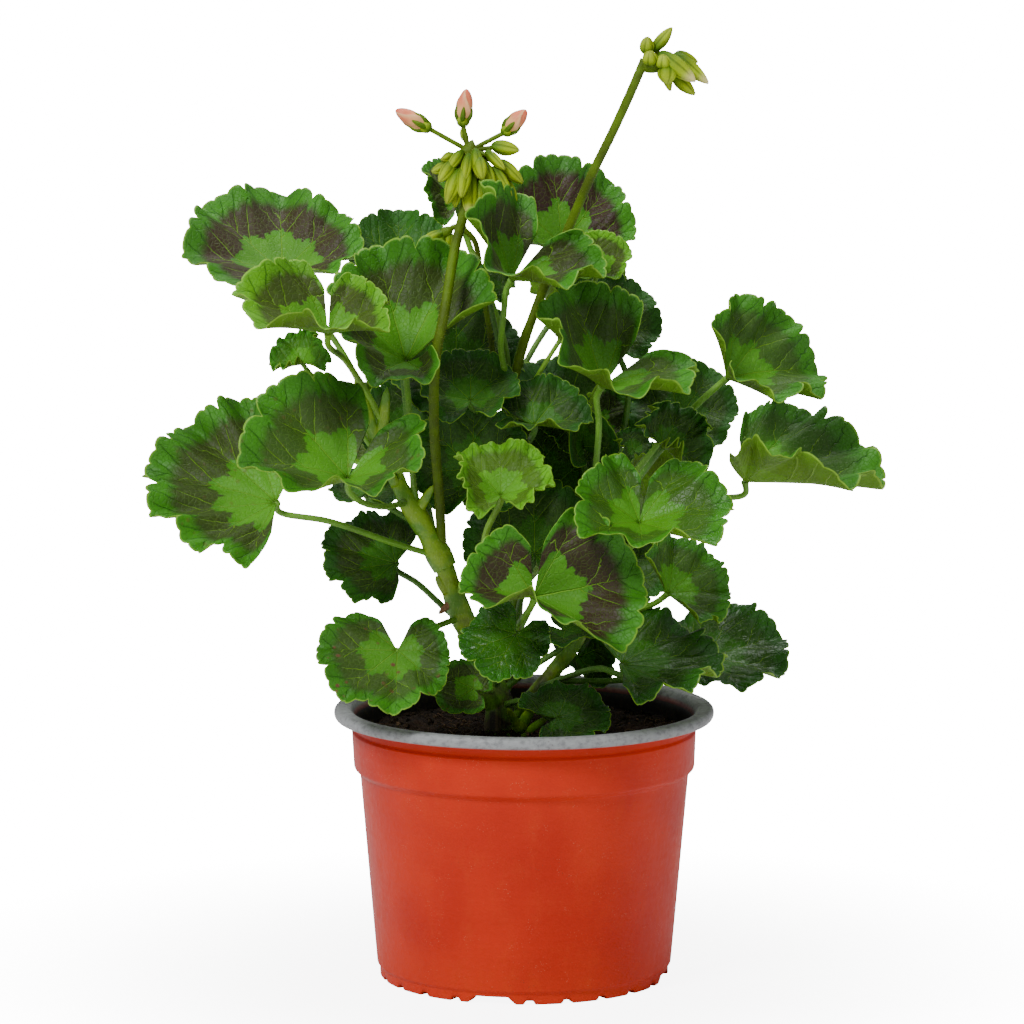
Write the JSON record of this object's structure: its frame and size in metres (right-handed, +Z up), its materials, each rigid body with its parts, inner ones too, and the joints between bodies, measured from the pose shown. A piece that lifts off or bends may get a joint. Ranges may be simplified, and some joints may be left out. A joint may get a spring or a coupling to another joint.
{
  "type": "potted plant",
  "caption": "Zonal geranium in a red plastic nursery pot: scallop-edged round leaves with dark bands on long stalks, and drooping bud heads on tall stalks.",
  "frame": {"origin": "on the floor at the middle of the plant's width and depth; the pot's axis stands 3.6 mm to the right of it and 1.1 mm behind it", "axes": "+Z up, -Y towards the front of the plant (the pictured side), +X to the plant's right as seen from the front"},
  "size_m": [0.2873, 0.2026, 0.3744],
  "materials": {
    "pot_plastic": "smooth terracotta-red thermoformed plastic, dark inside, with a worn grey rim",
    "peat": "dark, moist, fibrous peat",
    "stem_skin": "half-woody green-brown stem with swollen nodes",
    "leaf": "softly hairy leaf, fresh green with a dark brown-maroon horseshoe band and light veins",
    "bud_skin": "yellow-green, finely hairy buds and flower stalks",
    "petals": "furled salmon-pink petals"
  },
  "bodies": {
    "root": {"pot": "pot_plastic", "soil": "peat", "stem": "stem_skin", "leaf_upper_left": "leaf", "leaf_funnel_left": "leaf", "leaf_back_left": "leaf", "leaf_centre_funnel": "leaf", "leaf_behind_left_buds": "leaf", "leaf_curled_small": "leaf", "leaf_top_funnel": "leaf", "leaf_top_right": "leaf", "leaf_top_small": "leaf", "leaf_inner_curled": "leaf", "leaf_right_funnel": "leaf", "leaf_behind_right_funnel": "leaf", "leaf_folded_dark": "leaf", "leaf_inner_back": "leaf", "leaf_inner_upper": "leaf", "leaf_inner_right": "leaf", "leaf_inner_middle": "leaf", "leaf_inner_left": "leaf", "leaf_inner_low": "leaf", "leaf_inner_lowest": "leaf", "leaf_young_front": "leaf", "leaf_far_right_upper": "leaf", "leaf_far_right_lower": "leaf", "leaf_right_curled": "leaf", "leaf_behind_right": "leaf", "leaf_right_small_curled": "leaf", "leaf_right_inner": "leaf", "leaf_right_front": "leaf", "leaf_right_side": "leaf", "leaf_right_behind": "leaf", "leaf_low_right": "leaf", "leaf_low_far_right": "leaf", "leaf_low_folded": "leaf", "leaf_front_large": "leaf", "leaf_front_glossy": "leaf", "leaf_front_hidden": "leaf", "leaf_low_front": "leaf", "leaf_low_small": "leaf", "leaf_left_front": "leaf", "leaf_far_left": "leaf", "leaf_left_under": "leaf", "leaf_left_dark": "leaf", "leaf_low_left": "leaf", "leaf_rear_left": "leaf", "leaf_rear_right": "leaf", "leaf_rear_low": "leaf", "leaf_rear_top": "leaf", "leaf_rear_upper_right": "leaf", "bud_head_left": "bud_skin", "bud_head_right": "bud_skin", "bud_head_small": "bud_skin", "petals_left": "petals", "petals_middle": "petals", "petals_right": "petals"}
  },
  "joints": []
}
